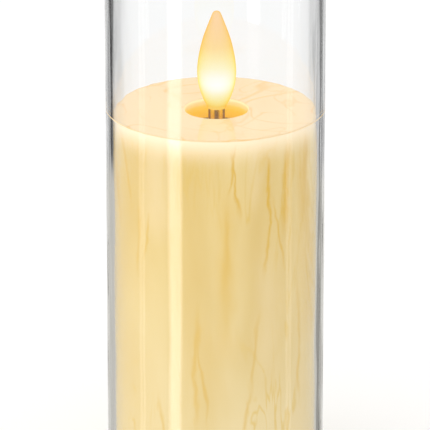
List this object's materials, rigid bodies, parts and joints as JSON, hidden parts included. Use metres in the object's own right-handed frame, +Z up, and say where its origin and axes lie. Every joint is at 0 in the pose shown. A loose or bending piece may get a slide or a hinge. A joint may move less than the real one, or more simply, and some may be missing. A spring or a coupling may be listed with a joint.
{
  "type": "flameless led candle",
  "caption": "Slim flameless candle: a real-wax shell with a round well inside a clear glass cylinder, with a frosted glowing flame bulb on a brass wick tube and a battery base.",
  "frame": {"origin": "bottom centre, on the surface that the candle stands on", "axes": "+Z up along the candle, -Y is the front, with the switch, and the battery door's hinge is at +Y"},
  "size_m": [0.055, 0.055, 0.152],
  "materials": {
    "clear_glass": "polished",
    "seal_rubber": "matte",
    "wax": "glossy wax, marbled",
    "frosted_flame": "frosted, glowing",
    "brass_tube": "polished",
    "led_epoxy": "clear epoxy",
    "tinned_wire": "tinned",
    "black_plastic": "moulded",
    "screw_steel": "zinc plated",
    "board_green": "solder mask",
    "ir_epoxy": "glossy",
    "chip_black": "matte",
    "chip_ceramic": "glazed",
    "capacitor_can": "satin",
    "ivory_plastic": "moulded, fine texture",
    "cell_jacket": "printed film, two plain colours",
    "contact_metal": "nickel plated",
    "spring_steel": "nickel plated",
    "red_wire": "smooth PVC",
    "black_wire": "smooth PVC",
    "switch_wire": "smooth PVC",
    "foot_rubber": "matte",
    "knob_plastic": "moulded"
  },
  "bodies": {
    "candle": {"glass_cylinder": "clear_glass", "glass_seal": "seal_rubber", "wax_shell": "wax", "flame_bulb": "frosted_flame", "wick_tube": "brass_tube", "flame_led": "led_epoxy", "led_leads": "tinned_wire", "lamp_holder": "black_plastic", "lamp_holder_screws": "screw_steel", "circuit_board": "board_green", "board_screws": "screw_steel", "ir_receiver": "ir_epoxy", "control_chip": "chip_black", "chip_resistors": "chip_ceramic", "filter_capacitor": "capacitor_can", "riser_frame": "ivory_plastic", "riser_screws": "screw_steel", "battery_case": "ivory_plastic", "battery_cell_left": "cell_jacket", "battery_cell_right": "cell_jacket", "positive_contact": "contact_metal", "negative_contact": "contact_metal", "negative_spring": "spring_steel", "positive_lead": "red_wire", "negative_lead": "black_wire", "base_cup": "ivory_plastic", "base_screws": "screw_steel", "rubber_feet": "foot_rubber", "switch_body": "black_plastic", "switch_terminals": "tinned_wire", "switch_leads": "switch_wire"},
    "battery_door": {"battery_door": "ivory_plastic", "door_contact_bridge": "contact_metal", "door_spring": "spring_steel"},
    "switch_knob": {"switch_knob": "knob_plastic"}
  },
  "joints": [
    {"name": "battery_door_hinge", "type": "hinge", "parent": "candle", "child": "battery_door", "pos_m": [0, 0.0119, 0.0022], "axis": [1, 0, 0], "range_deg": [0, 90]},
    {"name": "switch_slide", "type": "slide", "parent": "candle", "child": "switch_knob", "axis": [-1, 0, 0], "range_m": [0, 0.004]}
  ]
}
